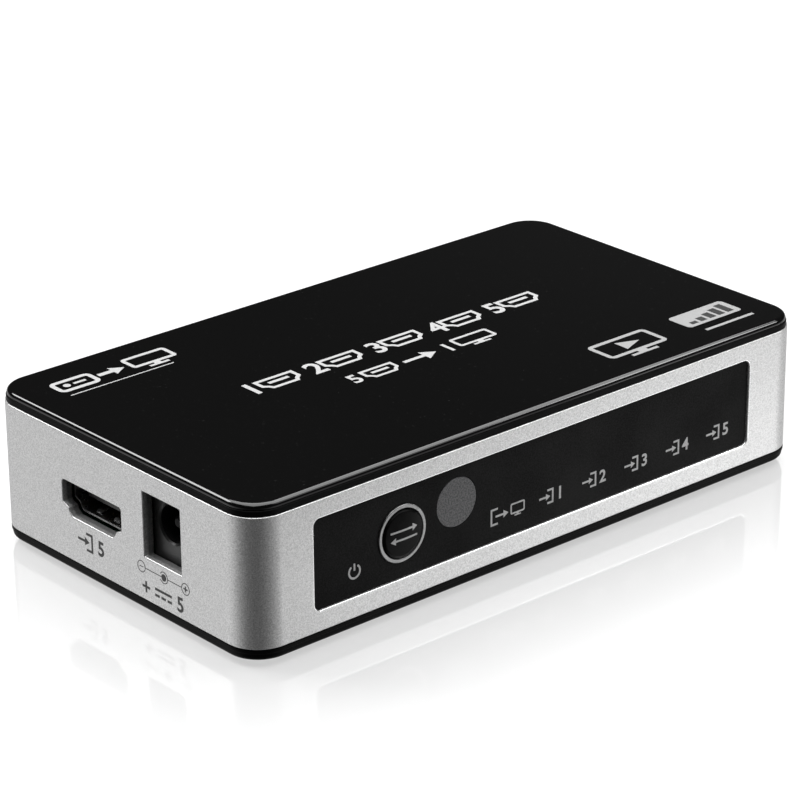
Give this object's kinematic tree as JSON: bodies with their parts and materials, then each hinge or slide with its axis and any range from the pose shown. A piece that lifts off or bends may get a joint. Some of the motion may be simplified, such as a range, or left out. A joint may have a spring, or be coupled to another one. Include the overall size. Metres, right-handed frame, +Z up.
{
  "type": "video switch box",
  "caption": "Low desktop video switch box: black top and bottom covers round a silver band, front panel with a sprung round button and infrared window, video and power sockets.",
  "frame": {"origin": "on the ground under the middle of the case, at the base of the rubber feet", "axes": "+X along the front to the right, -Y out of the front panel, +Z up"},
  "size_m": [0.119, 0.0664, 0.0268],
  "materials": {
    "gloss_black": "gloss",
    "satin_black": "satin",
    "silver_paint": "satin metallic",
    "matt_black": "matt grained",
    "bright_plating": "plated",
    "button_black": "gloss",
    "switch_black": "moulded",
    "tinned_steel": "tinned",
    "smoky_window": "smoky, fine grained",
    "dark_epoxy": "dark epoxy",
    "clear_plastic": "clear",
    "lamp_epoxy": "tinted epoxy",
    "board_green": "solder mask",
    "socket_black": "moulded",
    "bright_pin": "nickel",
    "chip_black": "moulded epoxy",
    "ferrite": "ferrite",
    "can_aluminium": "bare can",
    "can_steel": "bare can",
    "zinc_screw": "zinc",
    "foot_rubber": "moulded rubber",
    "socket_shell": "nickel plated steel",
    "contact_gold": "gold flashed"
  },
  "bodies": {
    "case": {"top_plate": "gloss_black", "top_cover": "satin_black", "bottom_cover": "satin_black", "side_band": "silver_paint", "front_overlay": "matt_black", "button_ring": "bright_plating", "switch_body": "switch_black", "switch_bracket": "tinned_steel", "ir_window": "smoky_window", "ir_receiver": "dark_epoxy", "light_guides": "clear_plastic", "status_lamps": "lamp_epoxy", "main_board": "board_green", "jack_body": "socket_black", "jack_pin": "bright_pin", "jack_spring": "bright_pin", "switch_chip": "chip_black", "control_chip": "chip_black", "voltage_regulator": "chip_black", "power_inductor": "ferrite", "filter_capacitors": "can_aluminium", "clock_crystal": "can_steel", "case_screws": "zinc_screw", "board_screws": "zinc_screw", "rubber_feet": "foot_rubber", "input_5_shell": "socket_shell", "input_5_insulator": "socket_black", "input_5_contacts": "contact_gold", "output_shell": "socket_shell", "output_insulator": "socket_black", "output_contacts": "contact_gold", "input_1_shell": "socket_shell", "input_1_insulator": "socket_black", "input_1_contacts": "contact_gold", "input_2_shell": "socket_shell", "input_2_insulator": "socket_black", "input_2_contacts": "contact_gold", "input_3_shell": "socket_shell", "input_3_insulator": "socket_black", "input_3_contacts": "contact_gold", "input_4_shell": "socket_shell", "input_4_insulator": "socket_black", "input_4_contacts": "contact_gold"},
    "button": {"button_cap": "button_black", "switch_plunger": "switch_black"}
  },
  "joints": [
    {"name": "button_press", "type": "slide", "parent": "case", "child": "button", "axis": [0, 1, 0], "range_m": [0, 0.0004], "stiffness_N_per_m": 1500, "springref_m": -0.0003}
  ]
}
